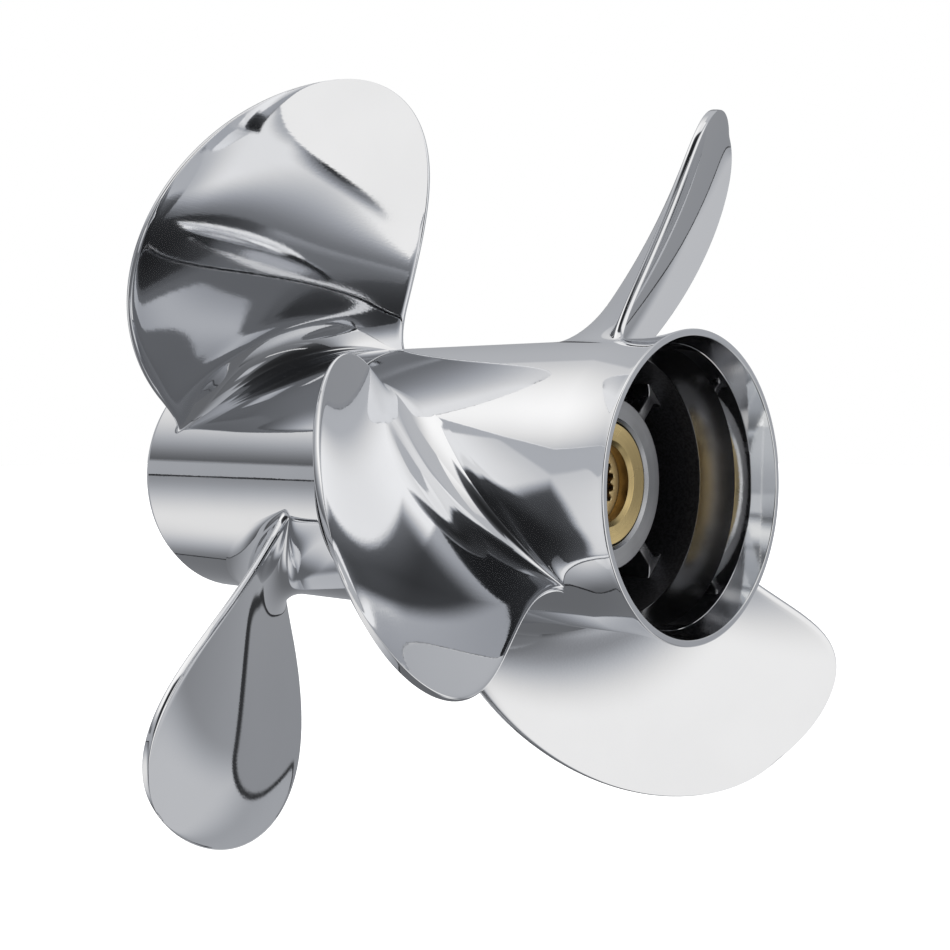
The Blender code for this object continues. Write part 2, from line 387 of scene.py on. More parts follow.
@lru_cache(maxsize=None)
def turned_tree() -> bpy.types.NodeTree:
    """Builds the tree that revolves an outline about the shaft axis.

    The outline's points hold x and radius, and the attributes finish and toothed. Where an
    outline is toothed, Teeth rounded teeth of Tooth Depth stand inwards from it.

    Returns:
        The tree, with its finishes as inputs.
    """
    maker = ShapeMaker(
        "turned_form",
        [
            ("Segments", "NodeSocketInt"),
            ("Teeth", "NodeSocketInt"),
            ("Tooth Depth", "NodeSocketFloat"),
            *((f"Finish {number}", "NodeSocketMaterial") for number in range(FINISH_COUNT)),
        ],
    )
    outline = maker.input("Geometry")
    segments = maker.input("Segments")
    size = maker.node("GeometryNodeAttributeDomainSize", Geometry=outline)
    points = size.outputs["Point Count"]
    across = maker.whole("ADD", points, 1)
    around = maker.whole("ADD", segments, 1)
    grid = maker.node("GeometryNodeMeshGrid", Vertices_X=across, Vertices_Y=around)

    index = maker.node("GeometryNodeInputIndex").outputs[0]
    row = maker.whole("DIVIDE_FLOOR", index, around)
    place = maker.whole("MODULO", row, points)
    step = maker.whole("MODULO", maker.whole("MODULO", index, around), segments)
    angle = maker.math("MULTIPLY", maker.math("DIVIDE", step, segments), TURN)

    here = maker.node("GeometryNodeInputPosition").outputs[0]
    corner = maker.sample("FLOAT_VECTOR", outline, here, place)
    apart = maker.node("ShaderNodeSeparateXYZ", Vector=corner)
    has_teeth = maker.sample("FLOAT", outline, maker.attribute("FLOAT", "toothed"), place)
    wave = maker.math("COSINE", maker.math("MULTIPLY", angle, maker.input("Teeth")))
    steep = maker.math("TANH", maker.math("MULTIPLY", wave, TOOTH_STEEPNESS))
    share = maker.math("MULTIPLY_ADD", steep, 0.5 / math.tanh(TOOTH_STEEPNESS), 0.5)
    depth = maker.math("MULTIPLY", share, maker.input("Tooth Depth"))
    inwards = maker.math("MULTIPLY", depth, has_teeth)
    radius = maker.math("SUBTRACT", apart.outputs["Z"], inwards)
    y = maker.math("MULTIPLY", radius, maker.math("SINE", angle))
    z = maker.math("MULTIPLY", radius, maker.math("COSINE", angle))
    spot = maker.node("ShaderNodeCombineXYZ", X=apart.outputs["X"], Y=y, Z=z)
    placed = maker.node(
        "GeometryNodeSetPosition", Geometry=grid.outputs["Mesh"], Position=spot.outputs[0]
    )

    wall = maker.whole("DIVIDE_FLOOR", index, segments)
    which = maker.sample("INT", outline, maker.attribute("INT", "finish"), wall)
    dressed = placed.outputs[0]
    for number in range(FINISH_COUNT):
        chosen = maker.node("FunctionNodeCompare", {"data_type": "INT", "operation": "EQUAL"})
        maker.feed(chosen.inputs["A"], which)
        maker.feed(chosen.inputs["B"], number)
        dressing = maker.node(
            "GeometryNodeSetMaterial",
            Geometry=dressed,
            Selection=chosen.outputs[0],
            Material=maker.input(f"Finish {number}"),
        )
        dressed = dressing.outputs[0]
    closed = maker.node("GeometryNodeMergeByDistance", Geometry=dressed, Distance=WELD)
    whole = maker.node("GeometryNodeRealizeInstances", Geometry=closed.outputs[0])
    maker.feed(maker.target.inputs[0], whole.outputs[0])
    return maker.tree


@lru_cache(maxsize=None)
def array_tree() -> bpy.types.NodeTree:
    """Builds the tree that repeats a piece around the shaft axis.

    Returns:
        The tree, whose inputs are Count, First Angle in radians and Finish.
    """
    maker = ShapeMaker(
        "repeat_round_shaft",
        [
            ("Count", "NodeSocketInt"),
            ("First Angle", "NodeSocketFloat"),
            ("Finish", "NodeSocketMaterial"),
        ],
    )
    count = maker.input("Count")
    places = maker.node("GeometryNodePoints", Count=count)
    index = maker.node("GeometryNodeInputIndex").outputs[0]
    share = maker.math("DIVIDE", index, count)
    angle = maker.math("MULTIPLY_ADD", share, TURN, maker.input("First Angle"))
    turn = maker.node("ShaderNodeCombineXYZ", X=maker.math("MULTIPLY", angle, -1.0))
    copies = maker.node(
        "GeometryNodeInstanceOnPoints", Points=places.outputs[0], Instance=maker.input("Geometry")
    )
    rotation = maker.node("FunctionNodeEulerToRotation", Euler=turn.outputs[0])
    maker.feed(copies.inputs["Rotation"], rotation.outputs[0])
    real = maker.node("GeometryNodeRealizeInstances", Geometry=copies.outputs[0])
    dressed = maker.node(
        "GeometryNodeSetMaterial", Geometry=real.outputs[0], Material=maker.input("Finish")
    )
    maker.feed(maker.target.inputs[0], dressed.outputs[0])
    return maker.tree


# Finishes


class ShadeMaker(NodeMaker):
    """Adds and links the shader nodes of one material or group."""

    def group(self, tree: bpy.types.NodeTree, **inputs: Feed) -> bpy.types.Node:
        """Adds a node that uses a shader group."""
        return self.node("ShaderNodeGroup", {"node_tree": tree}, **inputs)

    def noise(self, vector: Socket, scale: Feed, detail: float = 2.0) -> Socket:
        """Adds a Noise texture and gives its value."""
        made = self.node("ShaderNodeTexNoise", Vector=vector, Scale=scale, Detail=detail)
        return made.outputs[0]

    def ramp(
        self, value: Socket, low: Feed, high: Feed, start: Feed = 0.0, end: Feed = 1.0
    ) -> Socket:
        """Adds a smooth Map Range from low..high to start..end and gives its result.

        Args:
            value: the number that is mapped.
            low: the number that gives start.
            high: the number that gives end.
            start: the result at low and beyond it.
            end: the result at high and beyond it.

        Returns:
            The result.
        """
        made = self.node(
            "ShaderNodeMapRange",
            {"interpolation_type": "SMOOTHSTEP"},
            Value=value,
            From_Min=low,
            From_Max=high,
            To_Min=start,
            To_Max=end,
        )
        return made.outputs[0]

    def blend(self, factor: Feed, first: Feed, second: Feed) -> Socket:
        """Mixes two numbers and gives the result.

        Args:
            factor: the second one's share, from 0 to 1.
            first: the number at share 0.
            second: the number at share 1.

        Returns:
            The mixed number.
        """
        made = self.node("ShaderNodeMix", {"data_type": "FLOAT"})
        for k, value in enumerate((factor, first, second)):
            self.feed(made.inputs[(0, 2, 3)[k]], value)
        return made.outputs[0]

    def mix(self, factor: Feed, first: Feed, second: Feed) -> Socket:
        """Mixes two colours and gives the result.

        Args:
            factor: the second one's share, from 0 to 1.
            first: the colour at share 0.
            second: the colour at share 1.

        Returns:
            The mixed colour.
        """
        made = self.node("ShaderNodeMix", {"data_type": "RGBA"})
        self.feed(made.inputs[0], factor)
        self.feed(made.inputs[6], first)
        self.feed(made.inputs[7], second)
        return made.outputs[2]


def new_group(
    name: str, inputs: list[str], outputs: list[str]
) -> tuple[ShadeMaker, dict[str, Socket]]:
    """Starts a shader group whose sockets are plain numbers, apart from a Vector input.

    Args:
        name: the group's name.
        inputs: the names of its number inputs.
        outputs: the names of its number outputs.

    Returns:
        The maker for its nodes, and its group input's sockets by name.
    """
    tree = bpy.data.node_groups.new(name, "ShaderNodeTree")
    tree.interface.new_socket(name="Vector", in_out="INPUT", socket_type="NodeSocketVector")
    for label in inputs:
        tree.interface.new_socket(name=label, in_out="INPUT", socket_type="NodeSocketFloat")
    for label in outputs:
        tree.interface.new_socket(name=label, in_out="OUTPUT", socket_type="NodeSocketFloat")
    maker = ShadeMaker(tree)
    source = tree.nodes.new("NodeGroupInput")
    return maker, {socket.name: socket for socket in source.outputs if socket.name}


def close_group(maker: ShadeMaker, values: dict[str, Socket]) -> bpy.types.NodeTree:
    """Feeds a group's outputs and gives its tree.

    Args:
        maker: the group's node maker.
        values: what feeds each output, by the output's name.

    Returns:
        The group's tree.
    """
    target = maker.tree.nodes.new("NodeGroupOutput")
    for label, value in values.items():
        maker.feed(target.inputs[label], value)
    return maker.tree


@lru_cache(maxsize=None)
def buffing_group() -> bpy.types.NodeTree:
    """Builds the marks of buffing: broad clouds, and hairlines that cross each other.

    Returns:
        The shader group.
    """
    maker, given = new_group("buffing_marks", ["Cloud Scale", "Hair Scale"], ["Clouds", "Hairs"])
    vector = given["Vector"]
    clouds = maker.noise(vector, given["Cloud Scale"], 3.0)
    hairs = None
    for turn, stretch in (((0.3, 0.2, 0.5), (1, 26, 26)), ((0.9, -0.4, -0.6), (26, 1, 26))):
        lay = maker.node("ShaderNodeMapping", Vector=vector, Rotation=turn, Scale=stretch)
        lines = maker.noise(lay.outputs[0], given["Hair Scale"], 1.0)
        hairs = lines if hairs is None else maker.math("MULTIPLY", hairs, lines)
    return close_group(maker, {"Clouds": clouds, "Hairs": maker.math("MULTIPLY", hairs, 2.0)})


@lru_cache(maxsize=None)
def turning_group() -> bpy.types.NodeTree:
    """Builds the marks of a lathe: fine rings about the shaft axis that fade in and out.

    Returns:
        The shader group.
    """
    maker, given = new_group("turning_marks", ["Ring Scale"], ["Rings", "Patches"])
    apart = maker.node("ShaderNodeSeparateXYZ", Vector=given["Vector"])
    square = maker.math("MULTIPLY", apart.outputs[1], apart.outputs[1])
    square = maker.math("MULTIPLY_ADD", apart.outputs[2], apart.outputs[2], square)
    along = maker.math("MULTIPLY", apart.outputs[0], 0.6)
    lay = maker.node("ShaderNodeCombineXYZ", X=maker.math("SQRT", square), Y=along)
    rings = maker.noise(lay.outputs[0], given["Ring Scale"], 1.5)
    patches = maker.noise(given["Vector"], 70.0, 2.0)
    return close_group(maker, {"Rings": rings, "Patches": patches})


@lru_cache(maxsize=None)
def casting_group() -> bpy.types.NodeTree:
    """Builds the skin of a rough casting: grain, with shallow pits.

    Returns:
        The shader group.
    """
    maker, given = new_group("casting_skin", ["Grain Scale"], ["Grain", "Pits"])
    grain = maker.noise(given["Vector"], given["Grain Scale"], 4.0)
    scale = maker.math("MULTIPLY", given["Grain Scale"], 0.35)
    pits = maker.node("ShaderNodeTexVoronoi", Vector=given["Vector"], Scale=scale)
    return close_group(maker, {"Grain": grain, "Pits": maker.ramp(pits.outputs[0], 0.1, 0.45)})


@dataclass(frozen=True)
class Skin:
    """What a finish feeds to its shader: colour, roughness, and marks of a depth in metres."""

    colour: Socket
    roughness: Socket
    marks: Socket
    depth: float


@dataclass(frozen=True)
class Finish:
    """What every finish has: a name and a base colour."""

    metallic: ClassVar[float] = 1.0

    name: str
    colour: Colour

    def shaded(self, share: float) -> Colour:
        """Gives the base colour times a share."""
        return tuple(share * part for part in self.colour)

    def skin(self, maker: ShadeMaker, vector: Socket) -> Skin:
        """Lays out the finish's own nodes.

        Args:
            maker: the material's node maker.
            vector: the Object coordinates.

        Returns:
            What they feed to the shader.
        """
        raise NotImplementedError

    @lru_cache(maxsize=None)
    def material(self) -> bpy.types.Material:
        """Makes the material.

        Returns:
            The material.
        """
        material = bpy.data.materials.new(self.name)
        material.use_nodes = True
        material.diffuse_color = (*self.colour, 1.0)
        maker = ShadeMaker(material.node_tree)
        shader = material.node_tree.nodes["Principled BSDF"]
        shader.inputs["Metallic"].default_value = self.metallic
        skin = self.skin(maker, maker.node("ShaderNodeTexCoord").outputs["Object"])
        bump = maker.node("ShaderNodeBump", Height=skin.marks, Distance=skin.depth, Strength=1.0)
        maker.feed(shader.inputs["Base Color"], skin.colour)
        maker.feed(shader.inputs["Roughness"], skin.roughness)
        maker.feed(shader.inputs["Normal"], bump.outputs["Normal"])
        return material


@dataclass(frozen=True)
class PolishedSteel(Finish):
    """Mirror-polished stainless steel, with faint buffing marks."""

    roughness: float = 0.05
    haze: float = 0.035
    hair_height: float = 0.002 * MM
    cloud_scale: float = 22.0
    hair_scale: float = 60.0
    cloud_shade: float = 0.95

    def skin(self, maker: ShadeMaker, vector: Socket) -> Skin:
        """Lays out clouds that tint and blur the mirror, and hairlines over it.

        Args:
            maker: the material's node maker.
            vector: the Object coordinates.

        Returns:
            What they feed to the shader.
        """
        scales = {"Cloud_Scale": self.cloud_scale, "Hair_Scale": self.hair_scale}
        marks = maker.group(buffing_group(), Vector=vector, **scales)
        clouds = maker.ramp(marks.outputs["Clouds"], 0.35, 0.7)
        hairs = maker.ramp(marks.outputs["Hairs"], 0.45, 0.8)
        half_clouds = maker.math("MULTIPLY", clouds, 0.5)
        tint = maker.mix(half_clouds, self.colour, self.shaded(self.cloud_shade))
        rough = maker.math("MULTIPLY_ADD", clouds, self.haze, self.roughness)
        rough = maker.math("MULTIPLY_ADD", hairs, self.haze * 0.5, rough)
        return Skin(tint, rough, marks.outputs["Hairs"], self.hair_height)


@dataclass(frozen=True)
class TurnedMetal(Finish):
    """A lathe-turned face, with fine rings."""

    roughness: float = 0.3
    ring_scale: float = 2600.0
    ring_height: float = 0.012 * MM
    dullness: float = 0.75

    def skin(self, maker: ShadeMaker, vector: Socket) -> Skin:
        """Lays out rings and patches that dull the metal.

        Args:
            maker: the material's node maker.
            vector: the Object coordinates.

        Returns:
            What they feed to the shader.
        """
        marks = maker.group(turning_group(), Vector=vector, Ring_Scale=self.ring_scale)
        patches = maker.ramp(marks.outputs["Patches"], 0.35, 0.7)
        rings = maker.ramp(marks.outputs["Rings"], 0.3, 0.7)
        dull = self.shaded(self.dullness)
        tint = maker.mix(maker.math("MULTIPLY", patches, 0.5), self.colour, dull)
        tint = maker.mix(maker.math("MULTIPLY", rings, 0.35), tint, dull)
        rough = maker.math("MULTIPLY_ADD", patches, 0.08, self.roughness)
        return Skin(tint, rough, marks.outputs["Rings"], self.ring_height)


@dataclass(frozen=True)
class CastSteel(Finish):
    """The unpolished inside of the casting, grainy, and darkened by its colour as painted shade."""

    metallic: ClassVar[float] = 0.9

    roughness: float = 0.45
    grain_scale: float = 900.0
    grain_height: float = 0.06 * MM
    hollow_shade: float = 0.6

    def skin(self, maker: ShadeMaker, vector: Socket) -> Skin:
        """Lays out grain, darker in its hollows, with pits.

        Args:
            maker: the material's node maker.
            vector: the Object coordinates.

        Returns:
            What they feed to the shader.
        """
        skin = maker.group(casting_group(), Vector=vector, Grain_Scale=self.grain_scale)
        grain = skin.outputs["Grain"]
        tint = maker.mix(maker.ramp(grain, 0.35, 0.65), self.shaded(self.hollow_shade), self.colour)
        rough = maker.math("MULTIPLY_ADD", grain, 0.15, self.roughness)
        height = maker.math("MULTIPLY_ADD", skin.outputs["Pits"], 0.5, grain)
        return Skin(tint, rough, height, self.grain_height)


@dataclass(frozen=True)
class MouldedRubber(Finish):
    """Black rubber with a dull moulded skin."""

    metallic: ClassVar[float] = 0.0

    roughness: float = 0.65
    grain_scale: float = 1500.0
    grain_height: float = 0.03 * MM
    bloom: float = 1.9

    def skin(self, maker: ShadeMaker, vector: Socket) -> Skin:
        """Lays out fine grain, paler on its heights.

        Args:
            maker: the material's node maker.
            vector: the Object coordinates.

        Returns:
            What they feed to the shader.
        """
        skin = maker.group(casting_group(), Vector=vector, Grain_Scale=self.grain_scale)
        grain = skin.outputs["Grain"]
        tint = maker.mix(maker.ramp(grain, 0.45, 0.75), self.colour, self.shaded(self.bloom))
        rough = maker.math("MULTIPLY_ADD", grain, 0.2, self.roughness)
        return Skin(tint, rough, grain, self.grain_height)


MIRROR = PolishedSteel("mirror_steel", (0.88, 0.89, 0.91), roughness=0.025, haze=0.02)
BORE_MIRROR = PolishedSteel("bore_mirror_steel", (0.93, 0.94, 0.95), roughness=0.03, haze=0.02)
# Polished steel painted darker as the shade inside the flared mouth
SHADED_THROAT = PolishedSteel("shaded_throat_steel", (0.5, 0.5, 0.51), roughness=0.13)
GROUND = TurnedMetal("ground_steel", (0.60, 0.61, 0.63), roughness=0.26, ring_height=0.006 * MM)
TURNED = TurnedMetal("turned_steel", (0.40, 0.41, 0.43), roughness=0.36)
# Near-black colour painted as the shade deep inside the barrels, on the hub tubes and on the front
# ribs
SHADED_CAST = CastSteel("shaded_cast_steel", (0.10, 0.10, 0.11))
BRASS = TurnedMetal("turned_brass", (0.72, 0.56, 0.27), roughness=0.26, ring_height=0.006 * MM)
# Brass painted paler as light on the sleeves' aft faces
LIT_BRASS = TurnedMetal("lit_face_brass", (0.98, 0.80, 0.46), roughness=0.55, ring_height=0.006 * MM)
# Brass painted dark as the shade in the bores of the collar and sleeves and on the collar's hidden
# forward face
BORE_SHADE_BRASS = TurnedMetal("shaded_brass", (0.36, 0.24, 0.10), roughness=0.4)
RUBBER = MouldedRubber("moulded_rubber", (0.02, 0.02, 0.021))


# Blades


@dataclass(frozen=True)
class Blade:
    """One cast blade, given by curves along its span and built as a fine loft.

    Each curve holds its root, middle and tip value in millimetres, as in the CAD source. The
    round values shape the outline towards the tip at the leading (le) and trailing (te) edge.
    The powers say how squarely the edges and the tip are rounded, and nose is the share of
    the fillet that lengthens the root.
    """

    hand: Hand
    tip: float
    phase: float
    round_le: float
    round_te: float
    pitch: tuple[float, float, float]
    half_chord: tuple[float, float, float]
    skew: tuple[float, float, float]
    rake: tuple[float, float, float]
    barrel_radius: Callable[[float], float]
    base: float = BARREL_RADIUS
    edge_thickness: float = 3.6 * MM
    root_thickness: float = 8.4 * MM
    tip_thickness: float = 4.0 * MM
    camber: float = 0.05
    fillet: float = 21.0 * MM
    fillet_foot: float = 15.0 * MM
    fillet_taper: float = 1.2
    fillet_power: float = 2.2
    nose: float = 0.45
    root_depth: float = 0.25 * MM
    edge_sweep: float = math.radians(86.0)
    le_power: float = 60.0
    te_power: float = 140.0
    tip_power: float = 40.0

    def fillet_growth(self, height: float) -> float:
        """Gives how far the root fillet stands out from the blade at a height over the barrel.

        Args:
            height: the height, in metres.

        Returns:
            How far it stands out, in metres.
        """
        if height >= self.fillet:
            return 0.0
        rest = 1 - max(height, 0.0) / self.fillet
        power = self.fillet_power
        return self.fillet_foot * (1 - (1 - rest**power) ** (1 / power))

    def point(self, t: float, u: float, rounding: float, side: float, turn: float) -> Point:
        """Gives a point of the blade's skin.

        Args:
            t: the span fraction, 0 at the barrel and 1 at the tip.
            u: from the leading edge at -1 to the trailing edge at 1.
            rounding: what the rounded edge leaves of the thickness there, from 0 to 1.
            side: 1 on the forward face, -1 on the aft face, 0 in the middle.
            turn: the blade's angle about the shaft, in radians.

        Returns:
            The point in metres.
        """
        span = self.tip - self.base
        rise = max(t, 0.0)
        nominal = self.base + rise * span
        pitch_angle = math.atan2(span_curve(self.pitch, t) * MM, TURN * nominal)
        growth = self.fillet_growth(t * span)
        reach = span_curve(self.half_chord, t) * MM
        leading = reach * math.sqrt(1 - rise**self.round_le)
        trailing = reach * math.sqrt(1 - rise**self.round_te)
        half_chord = (leading + trailing) / 2
        middle = span_curve(self.skew, t) * MM + (trailing - leading) / 2
        along = middle + u * (half_chord + self.nose * growth)
        thickness = self.root_thickness + (self.tip_thickness - self.root_thickness) * t
        bulge = self.edge_thickness + (thickness - self.edge_thickness) * (1 - u * u)
        half = bulge / 2 * rounding * math.sqrt(1 - rise**self.tip_power)
        half += growth * (1 - u * u) ** self.fillet_taper
        normal = self.camber * half_chord * (1 - u * u) + side * half
        sine, cosine = math.sin(pitch_angle), math.cos(pitch_angle)
        x = span_curve(self.rake, t) * MM + along * sine - normal * cosine
        base = self.barrel_radius(x)
        radius = base + t * (self.tip - base)
        around = (along * cosine + normal * sine) / nominal
        return on_axis(x, radius, turn - self.hand.value * around)

    def levels(self, rows: int = 76, fillet_rows: int = 16) -> list[float]:
        """Gives the span fractions of the rows, close together in the fillet and at the tip.

        Args:
            rows: the number of rows from the top of the fillet to the tip.
            fillet_rows: the number of rows up the fillet.

        Returns:
            The fractions, from inside the barrel's wall to just short of the tip.
        """
        span = self.tip - self.base
        low = [-self.root_depth / span]
        for k in range(fillet_rows):
            rise = math.sin(math.pi / 2 * k / fillet_rows) ** 2
            height = self.fillet * (1 - (1 - rise) ** (1 / self.fillet_power))
            low.append(height / span)
        start = self.fillet / span
        return low + [1 - (1 - start) * (1 - k / rows) ** 2 for k in range(rows)]

    def stations(self, middle: int = 80, edge: int = 11) -> list[tuple[float, float]]:
        """Gives (u, rounding) across the chord, close together round each edge.

        Args:
            middle: the number of steps between the rounded edges.
            edge: the number of steps round each edge.

        Returns:
            The places, from the leading edge to the trailing edge.
        """

        def round_edge(power: float) -> list[tuple[float, float]]:
            """Gives the places round one edge, from the edge inwards."""
            angles = [self.edge_sweep * k / edge for k in range(edge + 1)]
            return [(math.cos(a) ** (2 / power), math.sin(a)) for a in angles]

        leading = [(-u, v) for u, v in round_edge(self.le_power)]
        trailing = [(u, v) for u, v in round_edge(self.te_power)]
        start, end = leading[-1][0], trailing[-1][0]
        flat = []
        for k in range(1, middle):
            u = start + (end - start) * k / middle
            power = self.le_power if u < 0 else self.te_power
            flat.append((u, math.sqrt(1 - abs(u) ** power)))
        return leading + flat + trailing[::-1]

    def mesh(self, name: str, number: int) -> bpy.types.Mesh:
        """Builds the blade.

        Args:
            name: the mesh's name.
            number: 0, 1 or 2, the blade's place round the shaft.

        Returns:
            The closed mesh, whose root is just inside the barrel's wall.
        """
        turn = math.radians(self.phase + 360.0 * number / BLADE_COUNT)
        levels, stations = self.levels(), self.stations()
        edge = len(stations) - 1
        loop = 2 * edge
        vertices: list[Point] = []
        for t in levels:
            vertices += [self.point(t, u, v, -1, turn) for u, v in stations]
            vertices += [self.point(t, u, v, 1, turn) for u, v in reversed(stations[1:-1])]
        faces = loft_faces(len(levels), loop)
        top, tip = (len(levels) - 1) * loop, len(vertices)
        vertices.append(self.point(1.0, 0.0, 1.0, 0, turn))
        faces += [(top + i, top + (i + 1) % loop, tip) for i in range(loop)]
        faces += [(i, i + 1, loop - i - 1, loop - i) for i in range(1, edge - 1)]
        faces += [(edge - 1, edge, edge + 1), (0, 1, loop - 1)]
        mesh = finished_mesh(name, vertices, faces)
        mesh.set_sharp_from_angle(angle=BLADE_CREASE)
        return mesh


FRONT_BLADE = Blade(
    hand=Hand.LEFT,
    tip=170.0 * MM - RIM_TRIM,
    phase=-62.5,
    round_le=4.9,
    round_te=1.8,
    pitch=(335.0, 395.0, 353.0),
    half_chord=(51.0, 75.5, 100.0),
    skew=(48.0, 85.0, 151.0),
    rake=(25.0, 43.5, 64.5),
    barrel_radius=front_barrel_radius,
)
REAR_BLADE = Blade(
    hand=Hand.RIGHT,
    tip=152.5 * MM - RIM_TRIM,
    phase=-79.5,
    round_le=2.0,
    round_te=4.2,
    pitch=(416.0, 483.0, 477.0),
    half_chord=(58.0, 69.0, 83.0),
    skew=(13.0, 22.0, 54.0),
    rake=(175.5, 196.5, 216.0),
    barrel_radius=rear_barrel_radius,
)


# Sub-assemblies


def dress(
    obj: bpy.types.Object, body: Body, nodes: list[str], finish: Finish | None = None
) -> None:
    """Puts a finished piece on its CAD body.

    Args:
        obj: the piece.
        body: the CAD body that it rides on.
        nodes: the CAD nodes that it stands for.
        finish: its finish, where its mesh has none yet.
    """
    if finish is not None:
        obj.data.materials.clear()
        obj.data.materials.append(finish.material())
    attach(obj, body.value)
    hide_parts(*nodes)
    LOG.info("%s: %d faces on %s", obj.name, len(obj.data.polygons), body.value)


# Shares of a wall's length that a rounding, and the support beside it, may take
LONGEST_REACH = 0.45
SUPPORT_REACH = 0.08


@dataclass(frozen=True)
class Corner:
    """A corner of a turned outline, in metres.

    Its finish is that of the wall from here to the next corner.
    """

    x: float
    radius: float
    round_off: float
    finish: Finish
    toothed: bool = False


def rounded_outline(corners: list[Corner], steps: int = 6) -> list[Corner]:
    """Rounds the corners of a closed outline.

    Args:
        corners: the outline's corners, in order.
        steps: the number of facets in each rounding.

    Returns:
        The finer outline, with a support point on each side of a rounding, so that the flat
        walls beside it shade flat.
    """
    outline: list[Corner] = []
    count = len(corners)
    for i, corner in enumerate(corners):
        here = Vector((corner.x, corner.radius))
        before, after = corners[i - 1], corners[(i + 1) % count]
        back = Vector((before.x, before.radius)) - here
        ahead = Vector((after.x, after.radius)) - here
        if corner.round_off <= 0:
            outline.append(corner)
            continue
        half = back.angle(ahead) / 2
        reach = min(
            corner.round_off / math.tan(half),
            LONGEST_REACH * back.length,
            LONGEST_REACH * ahead.length,
        )
        radius = reach * math.tan(half)
        inward = (back.normalized() + ahead.normalized()).normalized()
        centre = here + inward * radius / math.sin(half)
        start, end = here + back.normalized() * reach, here + ahead.normalized() * reach
        support_back = min(reach, SUPPORT_REACH * back.length)
        support_ahead = min(reach, SUPPORT_REACH * ahead.length)
        points = [start + back.normalized() * support_back]
        sweep = (start - centre).angle_signed(end - centre)
        for k in range(steps + 1):
            turned = Matrix.Rotation(-sweep * k / steps, 2) @ (start - centre)
            points.append(centre + turned)
        points.append(end + ahead.normalized() * support_ahead)
        for k, point in enumerate(points):
            finish = before.finish if k <= steps // 2 else corner.finish
            outline.append(Corner(point.x, point.y, 0.0, finish, corner.toothed))
    return outline


@dataclass(frozen=True)
class TurnedForm:
    """A piece turned about the shaft axis from a closed outline.

    It may have up to FINISH_COUNT finishes.
    """

    corners: tuple[Corner, ...]
    segments: int = 256
    teeth: int = 0
    tooth_depth: float = 0.0

    def finishes(self) -> list[Finish]:
        """Gives the form's finishes, each once."""
        return list(dict.fromkeys(corner.finish for corner in self.corners))

    def outline(self) -> bpy.types.Mesh:
        """Makes the outline's points, with their finish and toothed attributes.

        Returns:
            A mesh that has only the points.
        """
        points = rounded_outline(list(self.corners))
        finishes = self.finishes()
        mesh = bpy.data.meshes.new("outline")
        mesh.from_pydata([(p.x, 0.0, p.radius) for p in points], [], [])
        finish = mesh.attributes.new("finish", "INT", "POINT")
        finish.data.foreach_set("value", [finishes.index(p.finish) for p in points])
        toothed = mesh.attributes.new("toothed", "FLOAT", "POINT")
        toothed.data.foreach_set("value", [float(p.toothed) for p in points])
        return mesh

    def build(self, name: str) -> bpy.types.Object:
        """Revolves the outline and gives the new object.

        Args:
            name: the object's name.

        Returns:
            The new object.
        """
        materials = [finish.material() for finish in self.finishes()]
        materials += materials[-1:] * (FINISH_COUNT - len(materials))
        values = {"Segments": self.segments, "Teeth": self.teeth, "Tooth Depth": self.tooth_depth}
        values.update((f"Finish {number}", material) for number, material in enumerate(materials))
        mesh = run_tree(name, self.outline(), turned_tree(), values)
        face_outwards(mesh)
        mesh.set_sharp_from_angle(angle=TURNED_CREASE)
        return add_object(name, mesh)


@dataclass(frozen=True)
class Ribs:
    """The webs between an inner hub and its barrel, with a fillet at each end."""

    start_x: float
    end_x: float
    thickness: float = 5.0 * MM
    foot: float = 4.5 * MM
    edge_round: float = 0.7 * MM
    sink: float = 0.2 * MM
    foot_power: float = 2.2
    row_power: float = 1.5

    def section(self, levels: int = 10) -> list[tuple[float, float]]:
        """Gives (radius, half width) from the hub to the barrel.

        Args:
            levels: the number of steps in each fillet.

        Returns:
            The rows, which start and end inside the walls that they meet.
        """
        inner, outer = HUB_RADIUS - self.sink, BARREL_BORE + self.sink
        rows = []
        for k in range(levels + 1):
            rise = (k / levels) ** self.row_power
            width = self.thickness / 2 + self.foot * (1 - rise) ** self.foot_power
            rows.append((inner + rise * self.foot, width))
        return rows + [(outer - (radius - inner), width) for radius, width in reversed(rows)]

    def mesh(self, name: str) -> bpy.types.Mesh:
        """Makes one rib at the top of the hub.

        Args:
            name: the mesh's name.

        Returns:
            The closed mesh.
        """
        vertices: list[Point] = []
        rows = self.section()
        arc = 5
        start, end = self.start_x, self.end_x
        corners = ((end, 1, -1), (end, 1, 1), (start, -1, 1), (start, -1, -1))
        for radius, width in rows:
            for edge_x, x_side, side in corners:
                for k in range(arc + 1):
                    turn = math.pi / 2 * k / arc
                    out, over = math.cos(turn), math.sin(turn)
                    if x_side * side < 0:
                        out, over = over, out
                    x = edge_x - x_side * self.edge_round * (1 - out)
                    across = side * (width - self.edge_round * (1 - over))
                    vertices.append(on_axis(x, radius, across / radius))
        count = len(corners) * (arc + 1)
        faces = loft_faces(len(rows), count)
        faces.append(tuple(range(count)))
        faces.append(tuple(range((len(rows) - 1) * count, len(rows) * count)))
        return finished_mesh(name, vertices, faces)

    def build(self, name: str, finish: Finish) -> bpy.types.Object:
        """Repeats the rib round the hub and gives the new object.

        Args:
            name: the object's name.
            finish: the ribs' finish.

        Returns:
            The new object.
        """
        mesh = run_tree(
            name,
            self.mesh(f"{name}_one"),
            array_tree(),
            {
                "Count": len(RIB_ANGLES),
                "First Angle": math.radians(RIB_ANGLES[0]),
                "Finish": finish.material(),
            },
        )
        mesh.set_sharp_from_angle(angle=RIB_CREASE)
        return add_object(name, mesh)


